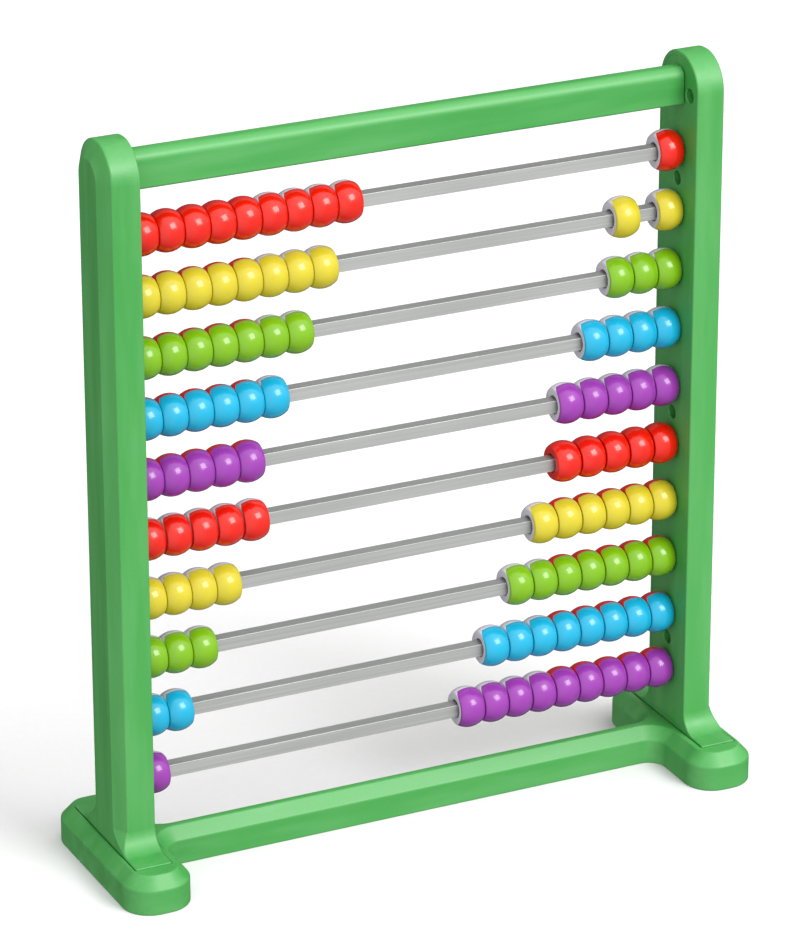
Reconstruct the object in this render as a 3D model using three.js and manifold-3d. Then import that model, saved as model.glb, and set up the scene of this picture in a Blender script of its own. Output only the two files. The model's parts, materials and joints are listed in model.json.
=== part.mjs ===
// A counting frame: two uprights on an H-shaped base hold a top rail and ten square rods, and
// ten beads slide on each rod. Millimetres. +X runs along the rods, the front is at -Y, +Z is up,
// and the origin is on the table under the middle of the base.
import * as THREE from "three";
import { mergeVertices } from "three/addons/utils/BufferGeometryUtils.js";
import Module from "manifold-3d";

// ---- Driving dimensions ----

const GAP = 0.3; // left between pieces that touch
const OVERLAP = 0.05; // how far solids that are joined run into each other where room is tight
const FRAME_HEIGHT = 305;
const FRAME_WIDTH = 267; // over the outer faces of the uprights

const UPRIGHT = {
  thickness: 15.3,
  halfDepth: 15.4,
  topRadius: 14.6,
  chamferAlong: 3.6, // how far the outer bevel runs along X
  chamferAcross: 7.1, // and how far it runs in from the outline
  flangeHalfDepth: 31.3,
  flangeTip: 3.1, // height of the flange at its ends
  flareRise: 0.6, // how much the flange rises to where the flare begins
  flareRadius: 9,
  edge: 0.4, // bevel left where the outer bevel has died out
  wall: 2.2,
};
const FOOT = {
  halfLength: 42.3,
  outerOverhang: 5.7,
  innerOverhang: 7,
  height: 15.4,
  cornerRadius: 12,
  chamferAcross: 4.4,
  chamferDown: 5,
  wall: 2.4,
  roof: 5.5, // thickness over the hollow of a foot
  recess: 3, // depth of the seat for the upright's flange
};
const CROSSBAR = { halfDepth: 5.8, cornerRadius: 7, roof: 3 };
const TONGUE = { thickness: 9.1, halfDepth: 11.7, bottom: 2 };
const PLATE = { thickness: 2.4, bottom: 17.5 };
const SCREW = {
  headRadius: 2.6,
  headHeight: 1.3,
  shankRadius: 1.25,
  length: 5.2,
  holeRadius: 2.9,
  cupRadius: 3.8,
  cupDepth: 9,
  cupFloor: 1.6,
  clearanceRadius: 1.6,
  pilotRadius: 1.55,
  postRadius: 3.5,
};
const RAIL = {
  halfDepth: 5,
  bottom: 284.4,
  top: 299.4,
  topRadius: 4,
  bottomRadius: 1,
  tongueHalfDepth: 3,
  tongueHalfHeight: 5,
  tongueLength: 8,
};
const ROD = { side: 5.2, edge: 0.5, reach: 10 }; // reach is how far a rod goes into an upright
const STOP_RIB_THICKNESS = 3;
const LOWEST_ROD_Z = 40;
const ROW_PITCH = 25;
const BEAD = {
  leftPitch: 10.65, // the beads at the left are pushed tight together
  rightPitch: 10.85, // and those at the right lie a little looser
  radius: 8.45,
  endRadius: 6.4,
  bandHalfWidth: 2.9,
  boreRadius: 3.8,
};
const BEADS_PER_ROW = 10;
const BACK_COLOUR_CHANGE = 5; // the back colour changes after this many beads

// From the top row down: the colour at the front, and how many beads stand at the left.
const ROWS = [
  { colour: "red", left: 9 },
  { colour: "yellow", left: 8, loose: 1 }, // one bead stands clear of both ends
  { colour: "green", left: 7 },
  { colour: "blue", left: 6 },
  { colour: "purple", left: 5 },
  { colour: "red", left: 5, pitch: 11 }, // these beads lie looser still
  { colour: "yellow", left: 4 },
  { colour: "green", left: 3 },
  { colour: "blue", left: 2 },
  { colour: "purple", left: 1 },
];
const LOOSE_BEAD_GAP = 8.4; // from the loose bead to the last one

const COLOURS = {
  red: 0xf02a20,
  yellow: 0xf0dc3c,
  green: 0x7cc82a,
  blue: 0x2aa8e0,
  purple: 0xa03cb4,
};
const FRAME_GREEN = 0x4db352;
const ROD_GREY = 0xa8aaa8;
const SCREW_STEEL = 0x8c8e90;

const ARC_STEPS = 6; // segments in each rounded corner
const BEAD_SIDES = 10;
const ROUND_SIDES = 12;

// ---- Derived places ----

const INNER_FACE_X = FRAME_WIDTH / 2 - UPRIGHT.thickness;
const FLANGE_BOTTOM = FOOT.height - FOOT.recess + GAP;
const ARCH_Z = FRAME_HEIGHT - UPRIGHT.topRadius;
const SCREW_PLACES = [
  // y and z on the inner face: between rods along the middle, and either side of the rail
  [0, LOWEST_ROD_Z + 0.5 * ROW_PITCH],
  [0, LOWEST_ROD_Z + 4.5 * ROW_PITCH],
  [0, LOWEST_ROD_Z + 8.5 * ROW_PITCH],
  [-8.8, 289],
  [8.8, 289],
];

// ---- Solids ----

const wasm = await Module();
wasm.setup();

function toSolid(geometry) {
  const bare = geometry.clone();
  bare.deleteAttribute("normal");
  bare.deleteAttribute("uv");
  const merged = mergeVertices(bare, 1e-4);
  return new wasm.Manifold(
    new wasm.Mesh({
      numProp: 3,
      vertProperties: merged.attributes.position.array,
      triVerts: new Uint32Array(merged.index.array),
    }),
  );
}

function toGeometry(solid) {
  const mesh = solid.getMesh();
  const geometry = new THREE.BufferGeometry();
  geometry.setAttribute("position", new THREE.BufferAttribute(mesh.vertProperties, 3));
  geometry.setIndex(new THREE.BufferAttribute(mesh.triVerts, 1));
  geometry.computeVertexNormals();
  return geometry;
}

// A box given by its ranges along X, Y and Z.
function block([x0, x1], [y0, y1], [z0, z1]) {
  const box = new THREE.BoxGeometry(x1 - x0, y1 - y0, z1 - z0);
  return box.translate((x0 + x1) / 2, (y0 + y1) / 2, (z0 + z1) / 2);
}

// A round bar along X at (y, z).
function bar(radius, [x0, x1], [y, z]) {
  const round = new THREE.CylinderGeometry(radius, radius, x1 - x0, ROUND_SIDES);
  return round.rotateZ(Math.PI / 2).translate((x0 + x1) / 2, y, z);
}

// The outline through corners [x, y, radius], anticlockwise, with each corner rounded.
function roundedOutline(corners) {
  const points = [];
  corners.forEach(([x, y, radius], i) => {
    const corner = new THREE.Vector2(x, y);
    if (!radius) {
      points.push(corner);
      return;
    }
    const before = corners[(i + corners.length - 1) % corners.length];
    const after = corners[(i + 1) % corners.length];
    const back = new THREE.Vector2(before[0], before[1]).sub(corner).normalize();
    const on = new THREE.Vector2(after[0], after[1]).sub(corner).normalize();
    const half = Math.acos(back.dot(on)) / 2;
    const middle = back.clone().add(on).normalize();
    const centre = corner.clone().addScaledVector(middle, radius / Math.sin(half));
    const start = corner.clone().addScaledVector(back, radius / Math.tan(half)).sub(centre);
    const sweep = (Math.PI - 2 * half) * Math.sign(back.cross(on)) * -1;
    for (let step = 0; step <= ARC_STEPS; step++) {
      const spoke = start.clone().rotateAround(new THREE.Vector2(), (sweep * step) / ARC_STEPS);
      points.push(spoke.add(centre));
    }
  });
  return points;
}

// The outline moved inwards; inset is a number, or a function of the point.
function insetOutline(outline, inset) {
  return outline.map((point, i) => {
    const before = outline[(i + outline.length - 1) % outline.length];
    const after = outline[(i + 1) % outline.length];
    const first = point.clone().sub(before).normalize();
    const second = after.clone().sub(point).normalize();
    const inward = new THREE.Vector2(-first.y - second.y, first.x + second.x);
    const distance = typeof inset === "function" ? inset(point) : inset;
    return point.clone().addScaledVector(inward, distance / (1 + first.dot(second)));
  });
}

// A closed body through rings of equal length, each a list of Vector3, first ring lowest.
function loft(rings) {
  const count = rings[0].length;
  const faces = [];
  const cap = (ring) =>
    THREE.ShapeUtils.triangulateShape(
      ring.map((p) => new THREE.Vector2(p.x, p.y)),
      [],
    );
  cap(rings[0]).forEach(([a, b, c]) => faces.push(a, c, b));
  for (let level = 0; level < rings.length - 1; level++) {
    for (let i = 0; i < count; i++) {
      const a = level * count + i;
      const b = level * count + ((i + 1) % count);
      faces.push(a, b, b + count, a, b + count, a + count);
    }
  }
  const last = (rings.length - 1) * count;
  cap(rings[rings.length - 1]).forEach(([a, b, c]) => faces.push(a + last, b + last, c + last));
  const geometry = new THREE.BufferGeometry().setFromPoints(rings.flat());
  return geometry.setIndex(faces);
}

// A ring of the outline at one height, or at a height that depends on the point.
function ringAt(outline, height) {
  return outline.map((p, i) => {
    return new THREE.Vector3(p.x, p.y, typeof height === "function" ? height(i) : height);
  });
}

// Turns a body drawn with its outline in XY so that the outline lies in YZ and depth runs along X.
const OUTLINE_TO_YZ = new THREE.Matrix4().makeBasis(
  new THREE.Vector3(0, 1, 0),
  new THREE.Vector3(0, 0, 1),
  new THREE.Vector3(1, 0, 0),
);

// ---- Base: feet and crossbar in one moulding, hollow underneath ----

const FOOT_INNER_X = INNER_FACE_X - FOOT.innerOverhang;
const FOOT_OUTER_X = FRAME_WIDTH / 2 + FOOT.outerOverhang;

function baseOutline() {
  const { halfLength: l, cornerRadius: r } = FOOT;
  const { halfDepth: d, cornerRadius: s } = CROSSBAR;
  const quarter = [
    [FOOT_INNER_X, d, s],
    [FOOT_INNER_X, l, r],
    [FOOT_OUTER_X, l, r],
  ];
  const mirrored = (x, y) => quarter.map((c) => [c[0] * x, c[1] * y, c[2]]);
  return roundedOutline([
    ...mirrored(1, -1),
    ...mirrored(1, 1).reverse(),
    ...mirrored(-1, 1),
    ...mirrored(-1, -1).reverse(),
  ]);
}

function base() {
  const outline = baseOutline();
  const shoulder = FOOT.height - FOOT.chamferDown;
  let solid = toSolid(
    loft([
      ringAt(outline, 0),
      ringAt(outline, shoulder),
      ringAt(insetOutline(outline, FOOT.chamferAcross), FOOT.height),
    ]),
  );
  const slope = FOOT.chamferDown / FOOT.chamferAcross;
  const hollowShoulder = shoulder + FOOT.wall * (slope - Math.hypot(1, slope));
  const hollowTop = FOOT.height - CROSSBAR.roof;
  const topInset = FOOT.wall + (hollowTop - hollowShoulder) / slope;
  let hollow = toSolid(
    loft([
      ringAt(insetOutline(outline, FOOT.wall), -1),
      ringAt(insetOutline(outline, FOOT.wall), hollowShoulder),
      ringAt(insetOutline(outline, topInset), hollowTop),
    ]),
  );
  const footEnds = [FOOT_INNER_X - 1, FOOT_OUTER_X + 1];
  const seat = [INNER_FACE_X - GAP, FRAME_WIDTH / 2 + GAP];
  const seatHalfDepth = UPRIGHT.flangeHalfDepth + GAP;
  const middleX = INNER_FACE_X + UPRIGHT.thickness / 2;
  const slotHalf = TONGUE.thickness / 2 + GAP;
  const slotHalfDepth = TONGUE.halfDepth + GAP;
  for (const side of [-1, 1]) {
    const ends = (range) => range.map((x) => x * side).sort((a, b) => a - b);
    const long = [-FOOT.halfLength - 1, FOOT.halfLength + 1];
    const above = FOOT.height + 1;
    const roof = block(ends(footEnds), long, [FOOT.height - FOOT.roof, above]);
    hollow = hollow.subtract(toSolid(roof));
    const recess = block(
      ends(seat),
      [-seatHalfDepth, seatHalfDepth],
      [FOOT.height - FOOT.recess, above],
    );
    solid = solid.subtract(toSolid(recess));
    const slot = block(
      ends([middleX - slotHalf, middleX + slotHalf]),
      [-slotHalfDepth, slotHalfDepth],
      [-1, above],
    );
    solid = solid.subtract(toSolid(slot));
  }
  return toGeometry(solid.subtract(hollow));
}

// ---- Uprights: an outer shell and the plate that closes its inner side ----
// Both are drawn with the inner face at x = 0 and the outer face at x = thickness.

function uprightOutline() {
  const { halfDepth: d, flangeHalfDepth: f, flareRadius: r, topRadius: t } = UPRIGHT;
  const tip = FLANGE_BOTTOM + UPRIGHT.flangeTip;
  const flare = tip + UPRIGHT.flareRise;
  return roundedOutline([
    [-f, FLANGE_BOTTOM, 0],
    [f, FLANGE_BOTTOM, 0],
    [f, tip, 0],
    [d, flare, r],
    [d, FRAME_HEIGHT, t],
    [-d, FRAME_HEIGHT, t],
    [-d, flare, r],
    [-f, tip, 0],
  ]);
}

// The outline of the column alone, round-topped and flat at the bottom.
function columnOutline(inset, bottom) {
  const d = UPRIGHT.halfDepth - inset;
  const r = UPRIGHT.topRadius - inset;
  const top = FRAME_HEIGHT - inset;
  return roundedOutline([
    [-d, bottom, 0],
    [d, bottom, 0],
    [d, top, r],
    [-d, top, r],
  ]);
}

// How much of the outer bevel there is at a height: none on the flange, all above the flare.
function bevelShare(z) {
  const low = FLANGE_BOTTOM + UPRIGHT.flangeTip + UPRIGHT.flareRise;
  return THREE.MathUtils.smoothstep(z, low, low + UPRIGHT.flareRadius);
}

function bevelled(outline, depth, along, across) {
  const amount = (full) => (p) => THREE.MathUtils.lerp(UPRIGHT.edge, full, bevelShare(p.y));
  const alongAt = amount(along);
  return loft([
    ringAt(outline, 0),
    ringAt(outline, (i) => depth - alongAt(outline[i])),
    ringAt(insetOutline(outline, amount(across)), depth),
  ]).applyMatrix4(OUTLINE_TO_YZ);
}

function uprightShell() {
  const { thickness, wall, chamferAlong, chamferAcross } = UPRIGHT;
  const floor = thickness - wall;
  const evenWall = 0.76; // the hollow's bevel, as a share of the outer one, for an even wall
  const hollow = bevelled(
    columnOutline(wall, PLATE.bottom - GAP),
    floor,
    chamferAlong * evenWall,
    chamferAcross * evenWall,
  );
  let solid = toSolid(bevelled(uprightOutline(), thickness, chamferAlong, chamferAcross));
  solid = solid.subtract(toSolid(hollow));
  solid = solid.subtract(toSolid(mouth()));
  const rib = block(
    [ROD.reach + GAP, floor + 1],
    [-STOP_RIB_THICKNESS / 2, STOP_RIB_THICKNESS / 2],
    [LOWEST_ROD_Z - ROD.side, ARCH_Z],
  );
  solid = solid.add(toSolid(rib));
  for (const place of SCREW_PLACES) {
    const post = bar(SCREW.postRadius, [SCREW.cupDepth + GAP, floor + OVERLAP], place);
    const pilot = bar(SCREW.pilotRadius, [0, floor - 0.5], place);
    solid = solid.add(toSolid(post)).subtract(toSolid(pilot));
  }
  const middle = thickness / 2;
  const tongue = block(
    [middle - TONGUE.thickness / 2, middle + TONGUE.thickness / 2],
    [-TONGUE.halfDepth, TONGUE.halfDepth],
    [TONGUE.bottom, FLANGE_BOTTOM + 1],
  );
  return toGeometry(solid.add(toSolid(tongue)));
}

// The open mouth of the shell, cut a little past the inner face.
function mouth() {
  const outline = columnOutline(UPRIGHT.wall, PLATE.bottom - GAP);
  return loft([ringAt(outline, -1), ringAt(outline, 1)]).applyMatrix4(OUTLINE_TO_YZ);
}

function rodZ(row) {
  return LOWEST_ROD_Z + (ROWS.length - 1 - row) * ROW_PITCH;
}

function uprightPlate() {
  const outline = columnOutline(UPRIGHT.wall + GAP, PLATE.bottom);
  const sheet = loft([ringAt(outline, 0), ringAt(outline, PLATE.thickness)]);
  let solid = toSolid(sheet.applyMatrix4(OUTLINE_TO_YZ));
  const through = [-1, SCREW.cupDepth + 1];
  for (const place of SCREW_PLACES) {
    const cup = bar(SCREW.cupRadius, [0.5, SCREW.cupDepth], place);
    const mouthOfCup = bar(SCREW.holeRadius, [-1, SCREW.cupDepth - SCREW.cupFloor], place);
    const clearance = bar(SCREW.clearanceRadius, through, place);
    solid = solid.add(toSolid(cup)).subtract(toSolid(mouthOfCup)).subtract(toSolid(clearance));
  }
  const half = ROD.side / 2 + GAP;
  ROWS.forEach((_, row) => {
    const hole = block(through, [-half, half], [rodZ(row) - half, rodZ(row) + half]);
    solid = solid.subtract(toSolid(hole));
  });
  const railZ = (RAIL.bottom + RAIL.top) / 2;
  const slot = block(
    through,
    [-RAIL.tongueHalfDepth - GAP, RAIL.tongueHalfDepth + GAP],
    [railZ - RAIL.tongueHalfHeight - GAP, railZ + RAIL.tongueHalfHeight + GAP],
  );
  return toGeometry(solid.subtract(toSolid(slot)));
}

// A self-tapping screw along X, its head towards the inner face.
function screw() {
  const { headRadius, headHeight, shankRadius, length } = SCREW;
  const profile = [
    new THREE.Vector2(0, -headHeight),
    new THREE.Vector2(headRadius * 0.7, -headHeight),
    new THREE.Vector2(headRadius, -headHeight * 0.4),
    new THREE.Vector2(headRadius, 0),
    new THREE.Vector2(shankRadius, 0),
    new THREE.Vector2(shankRadius, length - 2 * shankRadius),
    new THREE.Vector2(0, length),
  ];
  return new THREE.LatheGeometry(profile, BEAD_SIDES).rotateZ(-Math.PI / 2);
}

// ---- Rail and rods ----

function rail() {
  const { halfDepth: d, bottom, top, topRadius, bottomRadius } = RAIL;
  const halfLength = INNER_FACE_X - GAP;
  const section = roundedOutline([
    [-d, bottom, bottomRadius],
    [d, bottom, bottomRadius],
    [d, top, topRadius],
    [-d, top, topRadius],
  ]);
  const body = loft([ringAt(section, -halfLength), ringAt(section, halfLength)]);
  const middleZ = (bottom + top) / 2;
  const reach = INNER_FACE_X + RAIL.tongueLength;
  const tongues = block(
    [-reach, reach],
    [-RAIL.tongueHalfDepth, RAIL.tongueHalfDepth],
    [middleZ - RAIL.tongueHalfHeight, middleZ + RAIL.tongueHalfHeight],
  );
  return toGeometry(toSolid(body.applyMatrix4(OUTLINE_TO_YZ)).add(toSolid(tongues)));
}

function rod() {
  const half = ROD.side / 2;
  const inner = half - ROD.edge;
  const section = [
    [-inner, -half],
    [inner, -half],
    [half, -inner],
    [half, inner],
    [inner, half],
    [-inner, half],
    [-half, inner],
    [-half, -inner],
  ].map(([y, z]) => new THREE.Vector2(y, z));
  const halfLength = INNER_FACE_X + ROD.reach;
  const body = loft([ringAt(section, -halfLength), ringAt(section, halfLength)]);
  return body.applyMatrix4(OUTLINE_TO_YZ);
}

// ---- Beads ----

// Beads that stand together, barrel after barrel round one bore, starting at x = 0.
function beadStack(count, pitch) {
  const { radius, endRadius, bandHalfWidth, boreRadius } = BEAD;
  const start = GAP / 2;
  const end = count * pitch - GAP / 2;
  const profile = [new THREE.Vector2(boreRadius, start), new THREE.Vector2(endRadius, start)];
  for (let bead = 0; bead < count; bead++) {
    const middle = (bead + 0.5) * pitch;
    profile.push(new THREE.Vector2(radius, middle - bandHalfWidth));
    profile.push(new THREE.Vector2(radius, middle + bandHalfWidth));
    profile.push(new THREE.Vector2(endRadius, bead < count - 1 ? (bead + 1) * pitch : end));
  }
  profile.push(new THREE.Vector2(boreRadius, end), profile[0].clone());
  return new THREE.LatheGeometry(profile, BEAD_SIDES).rotateZ(-Math.PI / 2);
}

// Splits a row's beads into the groups that slide together, and each group into the beads that
// have the same back colour. Two such beads stay single, and more are joined. Positions count
// from 1 at the left.
function beadSets(row) {
  const loose = row.loose || 0;
  const groups = [
    [1, row.left],
    [row.left + 1, row.left + loose],
    [row.left + loose + 1, BEADS_PER_ROW],
  ];
  const parts = groups.flatMap(([first, last]) => [
    [first, Math.min(last, BACK_COLOUR_CHANGE)],
    [Math.max(first, BACK_COLOUR_CHANGE + 1), last],
  ]);
  return parts
    .filter(([first, last]) => first <= last)
    .flatMap(([a, b]) => (b - a === 1 ? [[a, a], [b, b]] : [[a, b]]));
}

function beadPitch(row, first) {
  return row.pitch || (first <= row.left ? BEAD.leftPitch : BEAD.rightPitch);
}

// Where a set of beads that starts at position first begins: pushed to the end of its row,
// except for a loose bead.
function beadX(row, first) {
  const end = INNER_FACE_X - GAP / 2;
  if (first <= row.left) return (first - 1) * beadPitch(row, first) - end;
  const fromRight = (BEADS_PER_ROW + 1 - first) * beadPitch(row, first);
  return end - fromRight - (first <= row.left + (row.loose || 0) ? LOOSE_BEAD_GAP : 0);
}

function beadSetName(row, first, last) {
  const prefix = "row_" + String(row + 1).padStart(2, "0");
  return first === last ? `${prefix}_bead_${first}` : `${prefix}_beads_${first}_to_${last}`;
}

// ---- Assembly ----

function finish(color, roughness, metalness = 0) {
  return new THREE.MeshStandardMaterial({ color, roughness, metalness });
}

function piece(name, geometry, material, position = [0, 0, 0]) {
  const mesh = new THREE.Mesh(geometry, material);
  mesh.name = name;
  mesh.position.set(...position);
  return mesh;
}

const abacus = new THREE.Group();
abacus.add(piece("base", base(), finish(FRAME_GREEN, 0.45)));

const screwHeadX = SCREW.cupDepth - SCREW.cupFloor - GAP;
for (const [side, turn] of [
  ["left", Math.PI],
  ["right", 0],
]) {
  const upright = new THREE.Group();
  upright.rotation.z = turn;
  upright.position.x = side === "left" ? -INNER_FACE_X : INNER_FACE_X;
  upright.add(piece(`${side}_upright_shell`, uprightShell(), finish(FRAME_GREEN, 0.45)));
  upright.add(piece(`${side}_upright_plate`, uprightPlate(), finish(FRAME_GREEN, 0.5)));
  SCREW_PLACES.forEach(([y, z], i) => {
    const steel = finish(SCREW_STEEL, 0.35, 1);
    upright.add(piece(`${side}_upright_screw_${i + 1}`, screw(), steel, [screwHeadX, y, z]));
  });
  abacus.add(upright);
}

abacus.add(piece("top_rail", rail(), finish(FRAME_GREEN, 0.45)));

ROWS.forEach((row, index) => {
  const z = rodZ(index);
  const label = "row_" + String(index + 1).padStart(2, "0");
  abacus.add(piece(`${label}_rod`, rod(), finish(ROD_GREY, 0.4, 0.6), [0, 0, z]));
  for (const [first, last] of beadSets(row)) {
    const plastic = finish(COLOURS[row.colour], 0.25);
    const stack = beadStack(last - first + 1, beadPitch(row, first));
    abacus.add(piece(beadSetName(index, first, last), stack, plastic, [beadX(row, first), 0, z]));
  }
});

export default abacus;
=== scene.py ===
import json
import math
import random
import re

import bpy
from mathutils import Euler, Matrix, Vector


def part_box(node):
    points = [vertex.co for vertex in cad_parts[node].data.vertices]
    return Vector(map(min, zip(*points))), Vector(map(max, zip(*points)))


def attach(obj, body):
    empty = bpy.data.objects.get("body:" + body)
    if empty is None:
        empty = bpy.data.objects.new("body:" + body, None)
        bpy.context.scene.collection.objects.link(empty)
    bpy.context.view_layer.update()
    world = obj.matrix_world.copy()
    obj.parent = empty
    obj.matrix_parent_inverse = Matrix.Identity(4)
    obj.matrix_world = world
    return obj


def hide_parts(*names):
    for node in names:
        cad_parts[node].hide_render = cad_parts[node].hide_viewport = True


# The looks of a counting frame: a moulded green frame, ten square rods, and ten two-tone beads
# on each rod. Metres; +X runs along the rods, the front is at -Y, +Z is up. Every CAD node is
# replaced by a finer piece of the same size in the same place.
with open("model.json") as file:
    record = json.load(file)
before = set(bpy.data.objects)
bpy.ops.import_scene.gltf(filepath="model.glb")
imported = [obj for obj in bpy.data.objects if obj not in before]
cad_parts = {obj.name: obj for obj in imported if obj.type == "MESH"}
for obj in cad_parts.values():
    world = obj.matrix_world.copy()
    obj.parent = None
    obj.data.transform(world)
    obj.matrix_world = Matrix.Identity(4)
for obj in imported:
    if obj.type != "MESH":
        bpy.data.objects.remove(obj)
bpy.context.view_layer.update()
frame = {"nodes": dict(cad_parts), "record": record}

# ---- Sizes ----

MM = 0.001
GAP = 0.3 * MM  # left between pieces that touch
ARC_STEPS = 18  # segments in a rounded corner of an outline
FILLET_STEPS = 4  # segments in a rounded edge
ROUND_SIDES = 40  # sides of a round hole or post
SHARP_ANGLE = math.radians(38)  # edges that turn further than this are shaded as sharp
PAST = 1 * MM  # how far a cutting body reaches past the face that it cuts
OVERLAP = 0.05 * MM  # how far joined bodies run into each other where room is tight

BASE_LOW, BASE_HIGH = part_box("base")
SHELL_LOW, SHELL_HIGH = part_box("right_upright_shell")
PLATE_LOW, PLATE_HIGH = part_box("right_upright_plate")
RAIL_LOW, RAIL_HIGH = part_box("top_rail")
INNER_X = SHELL_LOW.x
THICKNESS = SHELL_HIGH.x - SHELL_LOW.x

FOOT_HEIGHT = BASE_HIGH.z
FOOT_INNER_X = INNER_X - 7 * MM
FOOT_CORNER_RADIUS = 12 * MM
FOOT_CHAMFER_ACROSS = 4.4 * MM
FOOT_CHAMFER_DOWN = 5 * MM
FOOT_WALL = 2.4 * MM
FOOT_ROOF = 5.5 * MM
FOOT_EDGES = {"floor": 0.5 * MM, "shoulder": 1.6 * MM, "top": 1.1 * MM}
CROSSBAR_HALF_DEPTH = 5.8 * MM
CROSSBAR_CORNER_RADIUS = 7 * MM
CROSSBAR_ROOF = 3 * MM
RECESS_DEPTH = 3 * MM
SEAT_SEAM = 0.18 * MM  # round an upright's flange in its recess
SEAT_CORNER_RADIUS = 0.6 * MM
MOUTH_CHAMFER = 0.25 * MM  # breaks the edge of a hole or a recess

WALL = 2.2 * MM
COLUMN_HALF_DEPTH = PLATE_HIGH.y + GAP + WALL
COLUMN_TOP_RADIUS = 14.6 * MM
BEVEL_ALONG = 3.6 * MM
BEVEL_ACROSS = 7.1 * MM
BEVEL_LEAST = 0.5 * MM  # what is left of the bevel on the flange
HOLLOW_BEVEL_SHARE = 0.76
FLANGE_BOTTOM = FOOT_HEIGHT - RECESS_DEPTH + GAP
FLANGE_TIP = 3.1 * MM
FLARE_RISE = 0.6 * MM
FLARE_RADIUS = 9 * MM
FLANGE_EDGE = 0.45 * MM  # radius of the inner edge on the flange
COLUMN_EDGE = 0.8 * MM  # and above it
BEVEL_EDGE = 0.9 * MM
TONGUE_THICKNESS = 9.1 * MM
TONGUE_HALF_DEPTH = 11.7 * MM

PLATE_THICKNESS = 2.4 * MM
PLATE_EDGE = 0.1 * MM
COVER_SEAM = 0.06 * MM  # the close seam round the cover
CUP_RADIUS = 3.8 * MM
CUP_DEPTH = 9 * MM
CUP_FLOOR = 1.6 * MM
SCREW_HOLE_RADIUS = 2.9 * MM
SCREW_CLEARANCE_RADIUS = 1.6 * MM
POST_RADIUS = 3.5 * MM
PILOT_RADIUS = 1.55 * MM
STOP_RIB_THICKNESS = 3 * MM
STOP_RIB_X = 10 * MM + GAP
STOP_RIB_BELOW_ROD = 5 * MM  # how far the rib runs on below the lowest rod
SCREWS_PER_UPRIGHT = 5

SCREW_HEAD_RADIUS = 2.6 * MM
SCREW_HEAD_HEIGHT = 1.3 * MM
# shares of the head's height and of its radius, from the top down
SCREW_HEAD_PROFILE = ((1, 0.45), (0.94, 0.72), (0.7, 0.9), (0.4, 1), (0, 1))
SCREW_LENGTH = 5.2 * MM
SCREW_CORE_RADIUS = 0.95 * MM
SCREW_THREAD_RADIUS = 1.25 * MM
SCREW_THREAD_PITCH = 1.1 * MM
SCREW_RIDGE_SHARE = 0.4  # of the pitch
SCREW_TIP = 2 * MM
SCREW_TIP_BLUNT = 0.1 * MM  # cut off the point
SCREW_SIDES = 24
SCREW_STEPS_PER_TURN = 9
SCREW_CROSS = {"reach": 1.35 * MM, "half_width": 0.28 * MM, "depth": 0.85 * MM}

RAIL_HALF_DEPTH = RAIL_HIGH.y
RAIL_TOP_RADIUS = 4 * MM
RAIL_BOTTOM_RADIUS = 1 * MM
RAIL_TENON_HALF_DEPTH = 3 * MM
RAIL_TENON_HALF_HEIGHT = 5 * MM
RAIL_END_EDGE = 0.2 * MM

ROD_EDGE = 0.13 * MM
ROD_END_EDGE = 0.3 * MM

BEAD_LENGTH = 10.5 * MM
BEAD_RADIUS = 8.45 * MM
BEAD_SIDE_ARC = 8.8 * MM
BEAD_EDGE = 0.85 * MM
BEAD_BORE_RADIUS = 3.8 * MM
BEAD_BORE_EDGE = 0.35 * MM
BEAD_SIDES = 64
BEAD_SIDE_STEPS = 14  # segments along the barrel
BEAD_EDGE_STEPS = 5  # and in the rounded edges of its ends
BEAD_BORE_STEPS = 3  # and of its bore
BEAD_TURN = math.radians(1.2)  # how far a bead may have turned on its rod
SEAM_DEPTH = 0.07 * MM
SEAM_HALF_WIDTH = 0.16 * MM
FRONT_SKIN_RADIUS = 7.7 * MM  # inner surface of the front colour
FRONT_SKIN_Y = 2.1 * MM  # and the place of its axis

ROW_COLOURS = ("red", "yellow", "green", "blue", "purple")
ROW_COUNT = 2 * len(ROW_COLOURS)
BEADS_PER_ROW = 10
SEED = 7  # of the screws' and the beads' turns


# ---- Outlines ----


def corner_arc(before, corner, after, radius, steps):
    """The points of the arc that rounds a corner, kept to half of the shorter side."""
    back = before - corner
    on = after - corner
    half = back.angle(on) / 2
    reach = min(radius / math.tan(half), 0.49 * back.length, 0.49 * on.length)
    radius = reach * math.tan(half)
    back.normalize()
    on.normalize()
    centre = corner + (back + on).normalized() * radius / math.sin(half)
    spoke = corner + back * reach - centre
    sweep = (math.pi - 2 * half) * math.copysign(1, -back.cross(on))
    turns = (Matrix.Rotation(sweep * i / steps, 2) for i in range(steps + 1))
    return [centre + turn @ spoke for turn in turns]


def rounded_outline(corners):
    """The closed outline through (x, y, radius) corners, anticlockwise."""
    points = []
    for i, (x, y, radius) in enumerate(corners):
        corner = Vector((x, y))
        if radius:
            before = Vector(corners[i - 1][:2])
            after = Vector(corners[(i + 1) % len(corners)][:2])
            points += corner_arc(before, corner, after, radius, ARC_STEPS)
        else:
            points.append(corner)
    return points


def rounded_path(*corners):
    """The open path through (inset, height, radius) corners; its two ends have no radius."""
    points = [Vector(corners[0])]
    for i in range(1, len(corners) - 1):
        x, y, radius = corners[i]
        before = Vector(corners[i - 1][:2])
        after = Vector(corners[i + 1][:2])
        points += corner_arc(before, Vector((x, y)), after, radius, FILLET_STEPS)
    return points + [Vector(corners[-1])]


def circle(radius, centre):
    turns = (2 * math.pi * i / ROUND_SIDES for i in range(ROUND_SIDES))
    return [Vector(centre) + radius * Vector((math.cos(a), math.sin(a))) for a in turns]


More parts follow.
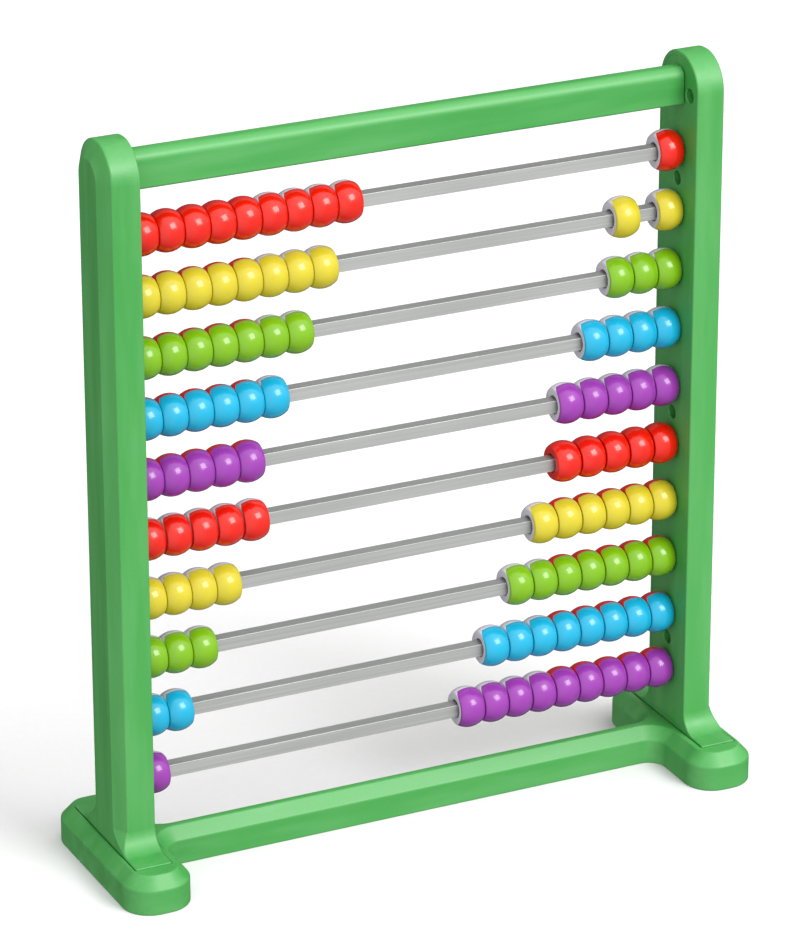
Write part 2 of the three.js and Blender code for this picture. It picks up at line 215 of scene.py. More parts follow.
def inward_moves(outline):
    """For each point, the move that shifts both of its sides inwards by one unit."""
    moves = []
    for i, point in enumerate(outline):
        first = (point - outline[i - 1]).normalized()
        second = (outline[(i + 1) % len(outline)] - point).normalized()
        inward = Vector((-first.y - second.y, first.x + second.x))
        moves.append(inward / (1 + first.dot(second)))
    return moves


# ---- Bodies ----

# Turns a body drawn with its outline in XY so that the outline lies in YZ and depth along X.
TO_YZ = Matrix(((0, 0, 1, 0), (1, 0, 0, 0), (0, 1, 0, 0), (0, 0, 0, 1)))
UPRIGHT_TURNS = {
    "left": Matrix.Translation((-INNER_X, 0, 0)) @ Matrix.Rotation(math.pi, 4, "Z"),
    "right": Matrix.Translation((INNER_X, 0, 0)),
}


def mesh_object(name, points, faces, matrix=Matrix()):
    mesh = bpy.data.meshes.new(name)
    mesh.from_pydata([matrix @ Vector(p) for p in points], [], faces)
    made = bpy.data.objects.new(name, mesh)
    bpy.context.scene.collection.objects.link(made)
    return made


def grid_faces(rings, count, closed=False):
    """Quads between rings of count points, and a cap on the first and the last ring. In a
    closed grid the last ring runs on into the first instead."""
    quads = []
    for level in range(rings if closed else rings - 1):
        here, beyond = level * count, (level + 1) % rings * count
        for i in range(count):
            following = (i + 1) % count
            quads.append((here + i, here + following, beyond + following, beyond + i))
    if closed:
        return quads
    first_cap = tuple(reversed(range(count)))
    last_cap = tuple(range((rings - 1) * count, rings * count))
    return [first_cap, *quads, last_cap]


def body(name, outline, path, matrix=Matrix()):
    """A closed body of rings that follow the outline. The path lists (inset, height) for each
    ring; it may be a function of the outline's point."""
    moves = inward_moves(outline)
    paths = [path(point) if callable(path) else path for point in outline]
    points = []
    for level in range(len(paths[0])):
        for point, move, steps in zip(outline, moves, paths):
            inset, height = steps[level]
            points.append((*(point + move * inset), height))
    return mesh_object(name, points, grid_faces(len(paths[0]), len(outline)), matrix)


def block(x_range, y_range, z_range):
    (x0, x1), (y0, y1) = sorted(x_range), sorted(y_range)
    outline = [Vector(p) for p in ((x0, y0), (x1, y0), (x1, y1), (x0, y1))]
    return body("tool", outline, [Vector((0, z)) for z in z_range])


def bar(radius, x_range, centre, mouth=0):
    """A round bar along X at (y, z), which widens by mouth at its first end."""
    start, end = x_range
    path = [(0, start), (0, end)]
    if mouth:
        path[:1] = [(-mouth, start), (-mouth, start + PAST), (0, start + PAST + mouth)]
    return body("tool", circle(radius, centre), path, TO_YZ)


def bake(piece):
    """Applies the piece's modifiers to its mesh."""
    shape = piece.evaluated_get(bpy.context.evaluated_depsgraph_get())
    mesh = bpy.data.meshes.new_from_object(shape)
    piece.modifiers.clear()
    piece.data = mesh


def combine(piece, operation, *tools):
    for tool in tools:
        step = piece.modifiers.new(operation.lower(), "BOOLEAN")
        step.operation = operation
        step.solver = "EXACT"
        step.object = tool
    bake(piece)
    for tool in tools:
        bpy.data.objects.remove(tool)


def cut(piece, *tools):
    combine(piece, "DIFFERENCE", *tools)


def join(piece, *tools):
    combine(piece, "UNION", *tools)


def smooth(piece):
    """Smooth shading that leaves flat faces flat and sharp edges sharp."""
    piece.data.shade_smooth()
    piece.data.set_sharp_from_angle(angle=SHARP_ANGLE)
    step = piece.modifiers.new("weighted_normal", "WEIGHTED_NORMAL")
    step.keep_sharp = True


def copy_piece(piece, name, matrix):
    made = bpy.data.objects.new(name, piece.data.copy())
    made.data.transform(matrix)
    bpy.context.scene.collection.objects.link(made)
    return made


def place(piece, node, material):
    """Gives a finished piece of the frame its material, and the CAD node that it replaces."""
    piece.data.materials.clear()
    piece.data.materials.append(material)
    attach(piece, "frame")
    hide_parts(node)


# ---- Materials ----


def add_node(tree, kind, inputs=None, **settings):
    made = tree.nodes.new("ShaderNode" + kind)
    for name, value in settings.items():
        setattr(made, name, value)
    for name, value in (inputs or {}).items():
        if isinstance(value, bpy.types.NodeSocket):
            tree.links.new(value, made.inputs[name])
        else:
            made.inputs[name].default_value = value
    return made


def math_node(tree, operation, first, second=0.0):
    return add_node(tree, "Math", {0: first, 1: second}, operation=operation).outputs[0]


def noise(tree, scale, detail=2.0, stretch=(1, 1, 1)):
    """Noise in the piece's own coordinates, with features of about 1 / scale metres."""
    where = add_node(tree, "TexCoord").outputs["Object"]
    mapped = add_node(tree, "Mapping", {"Vector": where, "Scale": stretch}).outputs[0]
    made = add_node(tree, "TexNoise", {"Vector": mapped, "Scale": scale, "Detail": detail})
    return made.outputs["Fac"]


def spread(tree, value, low, high, from_low=0.3, from_high=0.7):
    """A 0 to 1 value mapped on to a range."""
    inputs = {"Value": value, "From Min": from_low, "From Max": from_high}
    inputs.update({"To Min": low, "To Max": high})
    return add_node(tree, "MapRange", inputs).outputs[0]


def mixed_colour(tree, factor, first, second, blend="MIX"):
    mix = add_node(tree, "Mix", data_type="RGBA", blend_type=blend)
    colour_inputs = [socket for socket in mix.inputs if socket.type == "RGBA"]
    for socket, value in zip([mix.inputs[0], *colour_inputs], (factor, first, second)):
        if isinstance(value, bpy.types.NodeSocket):
            tree.links.new(value, socket)
        else:
            socket.default_value = value
    return next(socket for socket in mix.outputs if socket.type == "RGBA")


def bumps(tree, *layers):
    """Stacks bump layers, each (height, depth in metres, strength)."""
    normal = None
    for height, depth, strength in layers:
        inputs = {"Height": height, "Distance": depth, "Strength": strength}
        if normal:
            inputs["Normal"] = normal
        normal = add_node(tree, "Bump", inputs).outputs[0]
    return normal


def new_material(name, **constants):
    """A material with a Principled shader whose even properties are set on its own sockets."""
    made = bpy.data.materials.new(name)
    made.use_nodes = True
    shader = made.node_tree.nodes["Principled BSDF"]
    for socket, value in constants.items():
        shader.inputs[socket.replace("_", " ")].default_value = value
    return made, made.node_tree, shader


def connect(tree, shader, **values):
    for socket, value in values.items():
        tree.links.new(value, shader.inputs[socket.replace("_", " ")])


def srgb(red, green, blue):
    """A linear colour from sRGB values of 0 to 255."""

    def linear(value):
        share = value / 255
        return share / 12.92 if share <= 0.04045 else ((share + 0.055) / 1.055) ** 2.4

    return (linear(red), linear(green), linear(blue), 1)


COLOURS = {
    "red": srgb(190, 18, 0),
    "yellow": srgb(177, 164, 36),
    "green": srgb(102, 150, 8),
    "blue": srgb(14, 143, 177),
    "purple": srgb(126, 46, 140),
    "white": srgb(188, 185, 193),
}


def frame_plastic(name, stretch):
    """Satin moulded green; stretch draws the flow marks out along the moulding."""
    made, tree, shader = new_material(name, IOR=1.5, Specular_IOR_Level=0.58)
    mottle = noise(tree, 26, detail=3, stretch=stretch)
    streaks = noise(tree, 150, detail=4, stretch=stretch)
    colour = mixed_colour(tree, spread(tree, mottle, 0, 1), srgb(41, 128, 47), srgb(57, 138, 61))
    pale_streaks = spread(tree, streaks, 0, 0.5, from_low=0.42, from_high=0.72)
    colour = mixed_colour(tree, pale_streaks, colour, srgb(80, 148, 82))
    grain = noise(tree, 2600)
    colour = mixed_colour(tree, spread(tree, grain, 0.35, 0), colour, srgb(38, 116, 50))
    rough = math_node(tree, "ADD", spread(tree, streaks, 0.36, 0.5), spread(tree, mottle, 0, 0.1))
    waves = noise(tree, 60, stretch=stretch)
    normal = bumps(tree, (waves, 0.4 * MM, 0.25), (grain, 0.03 * MM, 0.35))
    connect(tree, shader, Base_Color=colour, Roughness=rough, Normal=normal)
    return made


def rod_metal():
    """Drawn satin metal: fine lines along the rod, and a faint change of tone along it."""
    made, tree, shader = new_material("rod_satin_metal", Metallic=1.0)
    lines = noise(tree, 900, detail=4, stretch=(0.012, 1, 1))
    tone = noise(tree, 30, stretch=(0.4, 1, 1))
    colour = mixed_colour(tree, spread(tree, tone, 0, 1), srgb(181, 183, 181), srgb(193, 195, 192))
    colour = mixed_colour(tree, spread(tree, lines, 0, 0.5), colour, srgb(144, 146, 144))
    rough = spread(tree, lines, 0.44, 0.58)
    normal = bumps(tree, (lines, 0.04 * MM, 0.6))
    connect(tree, shader, Base_Color=colour, Roughness=rough, Normal=normal)
    return made


def screw_steel():
    """Zinc-plated steel with turned marks and a little tarnish."""
    made, tree, shader = new_material("screw_zinc_steel", Metallic=1.0)
    tarnish = noise(tree, 700, detail=4)
    marks = noise(tree, 5000, stretch=(1, 0.2, 0.2))
    dull, bright = srgb(120, 122, 124), srgb(164, 164, 160)
    colour = mixed_colour(tree, spread(tree, tarnish, 0, 1), dull, bright)
    rough = spread(tree, tarnish, 0.28, 0.5)
    normal = bumps(tree, (marks, 0.02 * MM, 0.4))
    connect(tree, shader, Base_Color=colour, Roughness=rough, Normal=normal)
    return made


def front_share(tree):
    """1 where the bead shows its front colour, 0 where it shows its back colour."""
    where = add_node(tree, "TexCoord").outputs["Object"]
    parts = add_node(tree, "SeparateXYZ", {"Vector": where})
    y, z = parts.outputs["Y"], parts.outputs["Z"]
    ahead = math_node(tree, "LESS_THAN", y, 0.0)
    across = math_node(tree, "SUBTRACT", y, FRONT_SKIN_Y)
    squares = math_node(tree, "ADD", *(math_node(tree, "MULTIPLY", v, v) for v in (across, z)))
    reach = math_node(tree, "SQRT", squares)
    outside = math_node(tree, "GREATER_THAN", reach, FRONT_SKIN_RADIUS)
    return math_node(tree, "MULTIPLY", ahead, outside)


def bead_noise(tree, scale, detail=2.0):
    """Noise that differs from bead to bead."""
    where = add_node(tree, "TexCoord").outputs["Object"]
    own = math_node(tree, "MULTIPLY", add_node(tree, "ObjectInfo").outputs["Random"], 100.0)
    inputs = {"Vector": where, "W": own, "Scale": scale, "Detail": detail}
    return add_node(tree, "TexNoise", inputs, noise_dimensions="4D").outputs["Fac"]


def bead_plastic(front, back):
    """Glossy two-shot plastic: a front skin of one colour over a body of another."""
    name = f"bead_{front}_over_{back}"
    made, tree, shader = new_material(name, IOR=1.5, Specular_IOR_Level=0.4)
    colour = mixed_colour(tree, front_share(tree), COLOURS[back], COLOURS[front])
    cloud = bead_noise(tree, 220)
    tint = mixed_colour(tree, spread(tree, cloud, 0, 1), (0.94, 0.94, 0.94, 1), (1, 1, 1, 1))
    colour = mixed_colour(tree, 1.0, colour, tint, "MULTIPLY")
    rough = spread(tree, bead_noise(tree, 700, detail=3), 0.14, 0.23)
    ripple = bead_noise(tree, 240, detail=1)
    grain = bead_noise(tree, 3000)
    normal = bumps(tree, (ripple, 0.1 * MM, 0.2), (grain, 0.006 * MM, 0.3))
    connect(tree, shader, Base_Color=colour, Roughness=rough, Normal=normal)
    return made


def floor_paper():
    made, tree, shader = new_material("studio_paper", Roughness=0.9, Specular_IOR_Level=0.1)
    fibre = noise(tree, 300)
    colour = mixed_colour(tree, fibre, srgb(206, 206, 206), srgb(210, 210, 210))
    connect(tree, shader, Base_Color=colour)
    return made


# ---- Base ----


def base_outline():
    quarter = [
        (FOOT_INNER_X, CROSSBAR_HALF_DEPTH, CROSSBAR_CORNER_RADIUS),
        (FOOT_INNER_X, BASE_HIGH.y, FOOT_CORNER_RADIUS),
        (BASE_HIGH.x, BASE_HIGH.y, FOOT_CORNER_RADIUS),
    ]
    corners = []
    for x_sign, y_sign in ((1, -1), (1, 1), (-1, 1), (-1, -1)):
        turned = [(x * x_sign, y * y_sign, radius) for x, y, radius in quarter]
        corners += turned if x_sign * y_sign < 0 else turned[::-1]
    return rounded_outline(corners)


def seat_cutter(x_range, half_depth, bottom, top):
    """A straight-sided cutter that breaks the edge at the top face."""
    (x0, x1), y = sorted(x_range), half_depth
    corners = ((x0, -y), (x1, -y), (x1, y), (x0, y))
    outline = rounded_outline([(*corner, SEAT_CORNER_RADIUS) for corner in corners])
    chamfer = MOUTH_CHAMFER
    path = [(0, bottom), (0, top - chamfer), (-chamfer, top), (-chamfer, top + PAST)]
    return body("tool", outline, path)


def make_base():
    outline = base_outline()
    shoulder = FOOT_HEIGHT - FOOT_CHAMFER_DOWN
    flat = 2 * MM  # width of the flat ring next to each cap
    path = rounded_path(
        (flat, 0),
        (0, 0, FOOT_EDGES["floor"]),
        (0, shoulder, FOOT_EDGES["shoulder"]),
        (FOOT_CHAMFER_ACROSS, FOOT_HEIGHT, FOOT_EDGES["top"]),
        (FOOT_CHAMFER_ACROSS + 0.5 * flat, FOOT_HEIGHT),
    )
    base = body("base_moulding", outline, path)

    slope = FOOT_CHAMFER_DOWN / FOOT_CHAMFER_ACROSS
    hollow_shoulder = shoulder + FOOT_WALL * (slope - math.hypot(1, slope))
    hollow_top = FOOT_HEIGHT - CROSSBAR_ROOF
    top_inset = FOOT_WALL + (hollow_top - hollow_shoulder) / slope
    hollow_rings = [(FOOT_WALL, -PAST), (FOOT_WALL, hollow_shoulder), (top_inset, hollow_top)]
    hollow = body("tool", outline, hollow_rings)
    cutters = []
    middle_x = INNER_X + THICKNESS / 2
    slot_half = TONGUE_THICKNESS / 2 + GAP
    slot_depth = TONGUE_HALF_DEPTH + GAP
    for side in (-1, 1):
        foot_x = (side * (FOOT_INNER_X - PAST), side * (BASE_HIGH.x + PAST))
        long = (BASE_LOW.y - PAST, BASE_HIGH.y + PAST)
        cut(hollow, block(foot_x, long, (FOOT_HEIGHT - FOOT_ROOF, FOOT_HEIGHT + PAST)))
        seat_x = (side * (INNER_X - SEAT_SEAM), side * (SHELL_HIGH.x + SEAT_SEAM))
        seat_depth = SHELL_HIGH.y + SEAT_SEAM
        cutters.append(seat_cutter(seat_x, seat_depth, FOOT_HEIGHT - RECESS_DEPTH, FOOT_HEIGHT))
        slot_x = (side * (middle_x - slot_half), side * (middle_x + slot_half))
        cutters.append(block(slot_x, (-slot_depth, slot_depth), (-PAST, FOOT_HEIGHT + PAST)))
    cut(base, hollow, *cutters)
    smooth(base)
    return base


# ---- Uprights ----
# Each is drawn with its inner face at x = 0 and its outer face at x = THICKNESS, then turned.


def upright_outline():
    tip = FLANGE_BOTTOM + FLANGE_TIP
    flare = tip + FLARE_RISE
    f, d = SHELL_HIGH.y, COLUMN_HALF_DEPTH
    return rounded_outline(
        [
            (-f, FLANGE_BOTTOM, 0),
            (f, FLANGE_BOTTOM, 0),
            (f, tip, FLANGE_EDGE),
            (d, flare, FLARE_RADIUS),
            (d, SHELL_HIGH.z, COLUMN_TOP_RADIUS),
            (-d, SHELL_HIGH.z, COLUMN_TOP_RADIUS),
            (-d, flare, FLARE_RADIUS),
            (-f, tip, FLANGE_EDGE),
        ]
    )


def column_outline(inset, bottom):
    d, top, radius = COLUMN_HALF_DEPTH - inset, SHELL_HIGH.z - inset, COLUMN_TOP_RADIUS - inset
    return rounded_outline([(-d, bottom, 0), (d, bottom, 0), (d, top, radius), (-d, top, radius)])


def edges_at(height):
    """The bevel (along, across) and the inner edge: least on the flange, full above the flare."""
    start = FLANGE_BOTTOM + FLANGE_TIP + FLARE_RISE
    share = min(max((height - start) / FLARE_RADIUS, 0), 1)
    share = share * share * (3 - 2 * share)
    ranges = ((BEVEL_LEAST, BEVEL_ALONG), (BEVEL_LEAST, BEVEL_ACROSS), (FLANGE_EDGE, COLUMN_EDGE))
    return tuple(least + share * (full - least) for least, full in ranges)


def shell_path(point):
    along, across, edge = edges_at(point.y)
    flat = 1.5 * MM
    return rounded_path(
        (flat, 0),
        (0, 0, edge),
        (0, THICKNESS - along, BEVEL_EDGE),
        (across, THICKNESS, BEVEL_EDGE),
        (across + flat, THICKNESS),
    )


def hollow_path(point):
    along, across = (HOLLOW_BEVEL_SHARE * size for size in edges_at(point.y)[:2])
    floor = THICKNESS - WALL
    return [(0, -PAST), (0, floor - along), (across, floor)]


def screw_places():
    """The (y, z) of each screw on an upright, from the CAD screws."""
    corners = [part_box(f"right_upright_screw_{i + 1}") for i in range(SCREWS_PER_UPRIGHT)]
    return [((low.y + high.y) / 2, (low.z + high.z) / 2) for low, high in corners]


def make_shell():
    shell = body("right_upright_casing", upright_outline(), shell_path, TO_YZ)
    cut(shell, body("tool", column_outline(WALL, PLATE_LOW.z - GAP), hollow_path, TO_YZ))
    floor = THICKNESS - WALL
    rib_x = (STOP_RIB_X, floor + PAST)
    rib_z = (rod_places()[-1] - STOP_RIB_BELOW_ROD, SHELL_HIGH.z - COLUMN_TOP_RADIUS)
    ribs = [block(rib_x, (-STOP_RIB_THICKNESS / 2, STOP_RIB_THICKNESS / 2), rib_z)]
    middle = THICKNESS / 2
    tongue_x = (middle - TONGUE_THICKNESS / 2, middle + TONGUE_THICKNESS / 2)
    tongue_z = (SHELL_LOW.z, FLANGE_BOTTOM + PAST)
    ribs.append(block(tongue_x, (-TONGUE_HALF_DEPTH, TONGUE_HALF_DEPTH), tongue_z))
    posts = [bar(POST_RADIUS, (CUP_DEPTH + GAP, floor + OVERLAP), at) for at in screw_places()]
    join(shell, *ribs, *posts)
    cut(shell, *(bar(PILOT_RADIUS, (PAST, floor - PAST / 2), at) for at in screw_places()))
    return shell


def rod_places():
    """The height of each rod, from the top row down."""
    corners = [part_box(f"row_{row + 1:02d}_rod") for row in range(ROW_COUNT)]
    return [(low.z + high.z) / 2 for low, high in corners]


def make_plate():
    outline = column_outline(WALL + COVER_SEAM, PLATE_LOW.z - GAP + COVER_SEAM)
    flat = 1 * MM
    path = rounded_path(
        (flat, 0),
        (0, 0, PLATE_EDGE),
        (0, PLATE_THICKNESS, PLATE_EDGE),
        (flat, PLATE_THICKNESS),
    )
    plate = body("right_upright_cover", outline, path, TO_YZ)
    cup_x = (0.5 * PLATE_THICKNESS, CUP_DEPTH)
    join(plate, *(bar(CUP_RADIUS, cup_x, at) for at in screw_places()))
    hole_x = (-PAST, CUP_DEPTH - CUP_FLOOR)
    cutters = [bar(SCREW_HOLE_RADIUS, hole_x, at, MOUTH_CHAMFER) for at in screw_places()]
    through = (-PAST, CUP_DEPTH + PAST)
    cutters += [bar(SCREW_CLEARANCE_RADIUS, through, at) for at in screw_places()]
    low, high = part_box("row_01_rod")
    half = (high.z - low.z) / 2 + GAP
    for z in rod_places():
        cutters.append(block(through, (-half, half), (z - half, z + half)))
    rail_z = (RAIL_LOW.z + RAIL_HIGH.z) / 2
    depth, height = RAIL_TENON_HALF_DEPTH + GAP, RAIL_TENON_HALF_HEIGHT + GAP
    cutters.append(block(through, (-depth, depth), (rail_z - height, rail_z + height)))
    cut(plate, *cutters)
    return plate


def make_screw():
    """A pan-head tapping screw along X, its head at negative x."""
    steps = SCREW_STEPS_PER_TURN * int(SCREW_LENGTH / SCREW_THREAD_PITCH)
    ridge_slope = 2 / SCREW_RIDGE_SHARE
    ridge_height = SCREW_THREAD_RADIUS - SCREW_CORE_RADIUS
    points = []
    spins = [2 * math.pi * i / SCREW_SIDES for i in range(SCREW_SIDES)]
    for height_share, radius_share in SCREW_HEAD_PROFILE:
        x, radius = -height_share * SCREW_HEAD_HEIGHT, radius_share * SCREW_HEAD_RADIUS
        points += [(x, radius * math.cos(a), radius * math.sin(a)) for a in spins]
    for step in range(steps + 1):
        x = (SCREW_LENGTH - SCREW_TIP_BLUNT) * step / steps
        taper = min(1, (SCREW_LENGTH - x) / SCREW_TIP)
        for a in spins:
            phase = (x / SCREW_THREAD_PITCH - a / (2 * math.pi)) % 1
            ridge = max(0, 1 - abs(phase - 0.5) * ridge_slope)
            radius = taper * (SCREW_CORE_RADIUS + ridge * ridge_height)
            points.append((x, radius * math.cos(a), radius * math.sin(a)))
    rings = len(SCREW_HEAD_PROFILE) + steps + 1
    screw = mesh_object("screw", points, grid_faces(rings, SCREW_SIDES))
    slot_x = (-SCREW_HEAD_HEIGHT - PAST, -SCREW_HEAD_HEIGHT + SCREW_CROSS["depth"])
    long, narrow = ((-SCREW_CROSS[key], SCREW_CROSS[key]) for key in ("reach", "half_width"))
    cut(screw, block(slot_x, long, narrow), block(slot_x, narrow, long))
    return screw


def place_screws(screw, material):
    seat_x = CUP_DEPTH - CUP_FLOOR - GAP
    for side, turn in UPRIGHT_TURNS.items():
        for i, (y, z) in enumerate(screw_places()):
            spin = Matrix.Rotation(random.uniform(0, math.pi), 4, "X")
            matrix = turn @ Matrix.Translation((seat_x, y, z)) @ spin
            piece = copy_piece(screw, f"{side}_screw_{i + 1}", matrix)
            smooth(piece)
            place(piece, f"{side}_upright_screw_{i + 1}", material)
    bpy.data.objects.remove(screw)


# ---- Rail and rods ----


def bar_path(start, end, edge):
    """The rings of a bar with the edge of both ends broken."""
    return [(edge, start), (0, start + edge), (0, end - edge), (edge, end)]


def make_rail():
    d, bottom, top = RAIL_HALF_DEPTH, RAIL_LOW.z, RAIL_HIGH.z
    outline = rounded_outline(
        [
            (-d, bottom, RAIL_BOTTOM_RADIUS),
            (d, bottom, RAIL_BOTTOM_RADIUS),
            (d, top, RAIL_TOP_RADIUS),
            (-d, top, RAIL_TOP_RADIUS),
        ]
    )
    end = INNER_X - GAP
    rail = body("rail_moulding", outline, bar_path(-end, end, RAIL_END_EDGE), TO_YZ)
    middle, height = (bottom + top) / 2, RAIL_TENON_HALF_HEIGHT
    depth = (-RAIL_TENON_HALF_DEPTH, RAIL_TENON_HALF_DEPTH)
    join(rail, block((RAIL_LOW.x, RAIL_HIGH.x), depth, (middle - height, middle + height)))
    smooth(rail)
    return rail


def make_rod(name, low, high):
    half = (high.z - low.z) / 2
    z = (low.z + high.z) / 2
    corners = [(-half, z - half), (half, z - half), (half, z + half), (-half, z + half)]
    outline = rounded_outline([(*corner, ROD_EDGE) for corner in corners])
    rod = body(name, outline, bar_path(low.x, high.x, ROD_END_EDGE), TO_YZ)
    smooth(rod)
    return rod


# ---- Beads ----


def bead_profile():
    """The bead's closed section as (x, radius), from the bore round by way of the barrel."""
    half_length = BEAD_LENGTH / 2
    centre = BEAD_RADIUS - BEAD_SIDE_ARC
    end_turn = math.asin(half_length / BEAD_SIDE_ARC)
    barrel = []
    for i in range(BEAD_SIDE_STEPS + 1):
        turn = end_turn * (2 * i / BEAD_SIDE_STEPS - 1)
        x, y = BEAD_SIDE_ARC * math.sin(turn), centre + BEAD_SIDE_ARC * math.cos(turn)
        barrel.append(Vector((x, y)))
    first, last = barrel[0], barrel[-1]
    bore = [Vector((-half_length, BEAD_BORE_RADIUS)), Vector((half_length, BEAD_BORE_RADIUS))]
    return [
        *corner_arc(bore[1], bore[0], first, BEAD_BORE_EDGE, BEAD_BORE_STEPS),
        *corner_arc(bore[0], first, barrel[1], BEAD_EDGE, BEAD_EDGE_STEPS),
        *barrel[1:-1],
        *corner_arc(barrel[-2], last, bore[1], BEAD_EDGE, BEAD_EDGE_STEPS),
        *corner_arc(last, bore[1], bore[0], BEAD_BORE_EDGE, BEAD_BORE_STEPS),
    ]


def bead_angles():
    """(angle, groove depth) round the bead: even steps, with a fine groove where the two
    colours meet at the top and at the bottom."""
    half_seam = SEAM_HALF_WIDTH / BEAD_RADIUS
    angles = [(2 * math.pi * (i + 0.5) / BEAD_SIDES, 0) for i in range(BEAD_SIDES)]
    for seam in (0.5 * math.pi, 1.5 * math.pi):
        angles += [(seam - half_seam, 0), (seam, SEAM_DEPTH), (seam + half_seam, 0)]
    return sorted(angles)


def make_bead_mesh():
    profile = bead_profile()
    angles = bead_angles()
    points = []
    for angle, groove in angles:
        for x, radius in profile:
            on_barrel = radius > FRONT_SKIN_RADIUS
            reach = radius - (groove if on_barrel else 0)
            points.append((x, -reach * math.cos(angle), reach * math.sin(angle)))
    mesh = bpy.data.meshes.new("bead")
    mesh.from_pydata(points, [], grid_faces(len(angles), len(profile), closed=True))
    mesh.shade_smooth()
    return mesh


def back_colour(row, position):
    """The back changes between red and white at the middle of a row, and of the frame."""
    red_side = (position <= BEADS_PER_ROW // 2) == (row <= len(ROW_COLOURS))
    return "red" if red_side else "white"


def add_beads():
    nodes = sorted(name for name in frame["nodes"] if "_bead" in name)
    bodies = frame["record"]["behaviour"]["bodies"]
    body_of = {node: name for name, members in bodies.items() for node in members}
    shape = make_bead_mesh()
    meshes = {}
    for node in nodes:
        row, first, last = re.fullmatch(r"row_(\d+)_beads?_(\d+)(?:_to_(\d+))?", node).groups()
        row, first, last = int(row), int(first), int(last or first)
        low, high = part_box(node)
        pitch = (high.x - low.x + GAP) / (last - first + 1)
        front = ROW_COLOURS[(row - 1) % len(ROW_COLOURS)]
        for position in range(first, last + 1):
            pair = (front, back_colour(row, position))
            if pair not in meshes:
                meshes[pair] = shape.copy()
                meshes[pair].materials.append(bead_plastic(*pair))
            piece = bpy.data.objects.new(f"bead_{row:02d}_{position:02d}", meshes[pair])
            bpy.context.scene.collection.objects.link(piece)
            x = low.x - GAP / 2 + (position - first + 0.5) * pitch
            turn = Euler((random.uniform(-BEAD_TURN, BEAD_TURN), 0, 0))
            piece.matrix_world = Matrix.LocRotScale((x, 0, (low.z + high.z) / 2), turn, None)
            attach(piece, body_of[node])
            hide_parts(node)
    bpy.data.meshes.remove(shape)


# ---- Studio ----

CAMERA = {"azimuth": -25.73, "elevation": 22.58, "roll": -0.1, "distance": 1.9237, "lens": 122.76}
CAMERA_AIM = Vector((-4.9, 0.8, 146.5)) * MM
SENSOR_HEIGHT = 24
FLOOR_HALF_SIDE = 4.0
FLOOR_THICKNESS = 20 * MM
FLOOR_DROP = 0.05 * MM  # keeps it clear of the part's lowest faces
KEY_LIGHT = {"direction": (0.33, -0.72, 0.59), "distance": 3.0, "size": 1.4, "power": 75}
SKY_LEAST = 0.18
SKY_GLOWS = (
    # direction, strength, and how closely the glow keeps to its direction
    ((0.42, -0.2, 0.9), 2.2, 3.0),
    ((0.4, -0.9, 0.0), 0.7, 1.0),
    ((-0.9, -0.45, 0.3), 1.35, 1.0),
)


def add_camera():
    azimuth, elevation = math.radians(CAMERA["azimuth"]), math.radians(CAMERA["elevation"])
    roll = math.radians(CAMERA["roll"])
    data = bpy.data.cameras.new("camera")
    data.sensor_fit = "VERTICAL"
    data.sensor_height = SENSOR_HEIGHT
    data.lens = CAMERA["lens"]
    data.clip_end = 50
    camera = bpy.data.objects.new("camera", data)
    turn = Matrix.Rotation(azimuth, 4, "Z") @ Matrix.Rotation(math.pi / 2 - elevation, 4, "X")
    place_at = CAMERA_AIM + turn @ Vector((0, 0, CAMERA["distance"]))
    turn = turn @ Matrix.Rotation(roll, 4, "Z")
    camera.matrix_world = Matrix.Translation(place_at) @ turn
    bpy.context.scene.collection.objects.link(camera)
    bpy.context.scene.camera = camera


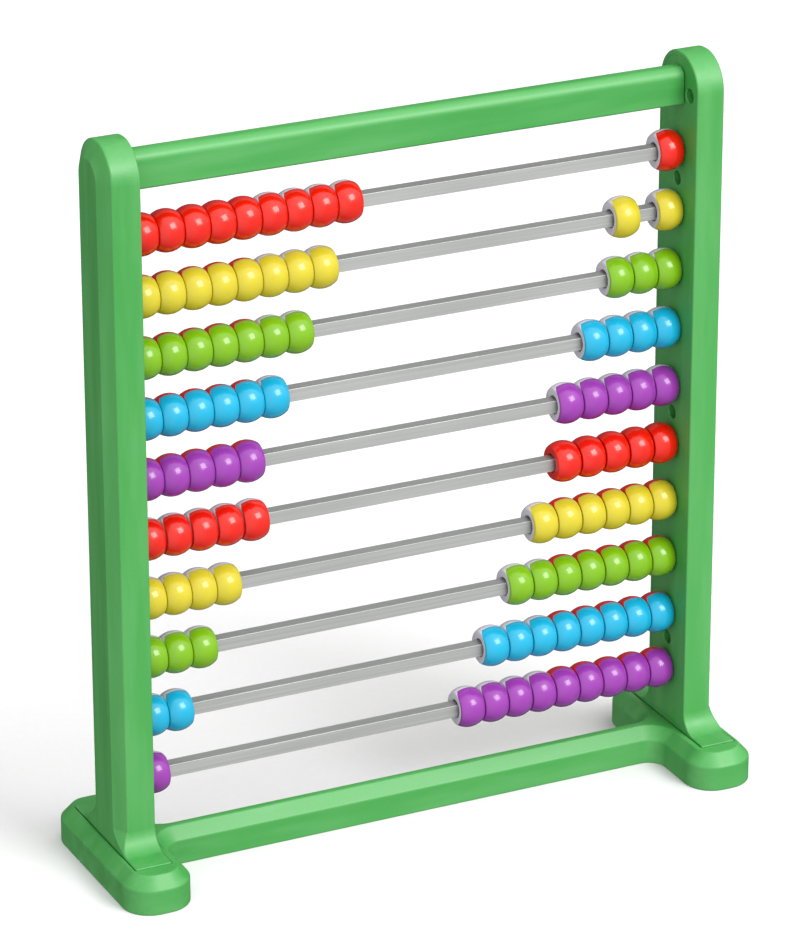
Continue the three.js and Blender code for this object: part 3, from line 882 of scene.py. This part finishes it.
def add_key_light():
    data = bpy.data.lights.new("key", "AREA")
    data.shape = "SQUARE"
    data.size = KEY_LIGHT["size"]
    data.energy = KEY_LIGHT["power"]
    light = bpy.data.objects.new("key", data)
    direction = Vector(KEY_LIGHT["direction"]).normalized()
    light.rotation_euler = direction.to_track_quat("Z", "Y").to_euler()
    light.location = CAMERA_AIM + direction * KEY_LIGHT["distance"]
    bpy.context.scene.collection.objects.link(light)


def add_world():
    """A dim studio with soft glows overhead, in front and at the left."""
    world = bpy.data.worlds.new("studio")
    world.use_nodes = True
    bpy.context.scene.world = world
    tree = world.node_tree
    where = add_node(tree, "TexCoord").outputs["Generated"]
    total = SKY_LEAST
    for direction, strength, power in SKY_GLOWS:
        inputs = {0: where, 1: Vector(direction).normalized()}
        along = add_node(tree, "VectorMath", inputs, operation="DOT_PRODUCT").outputs["Value"]
        share = math_node(tree, "POWER", math_node(tree, "MAXIMUM", along, 0.0), power)
        total = math_node(tree, "ADD", total, math_node(tree, "MULTIPLY", share, strength))
    background = tree.nodes["Background"]
    background.inputs["Color"].default_value = (1, 1, 1, 1)
    tree.links.new(total, background.inputs["Strength"])


def add_floor():
    half = FLOOR_HALF_SIDE
    corners = [Vector(p) for p in ((-half, -half), (half, -half), (half, half), (-half, half))]
    floor = body("studio_floor", corners, [(0, -FLOOR_THICKNESS), (0, -FLOOR_DROP)])
    floor.data.materials.append(floor_paper())
    # The pieces are lit and mirrored by the dim studio below them, not by the white floor,
    # which would wash their lower faces out.
    floor.visible_glossy = False
    floor.visible_diffuse = False


# ---- Assembly ----

random.seed(SEED)
upright_green = frame_plastic("frame_green_upright", (1, 1, 0.12))
bar_green = frame_plastic("frame_green_bar", (0.12, 1, 1))

place(make_base(), "base", bar_green)
place(make_rail(), "top_rail", bar_green)
for part, cad_part, make in (("casing", "shell", make_shell), ("cover", "plate", make_plate)):
    pattern = make()
    for side, turn in UPRIGHT_TURNS.items():
        piece = copy_piece(pattern, f"{side}_{part}", turn)
        smooth(piece)
        place(piece, f"{side}_upright_{cad_part}", upright_green)
    bpy.data.objects.remove(pattern)
place_screws(make_screw(), screw_steel())

metal = rod_metal()
for row in range(ROW_COUNT):
    node = f"row_{row + 1:02d}_rod"
    place(make_rod(f"rod_{row + 1:02d}", *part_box(node)), node, metal)
add_beads()

add_camera()
add_key_light()
add_world()
add_floor()
bpy.context.scene.view_settings.view_transform = "Standard"
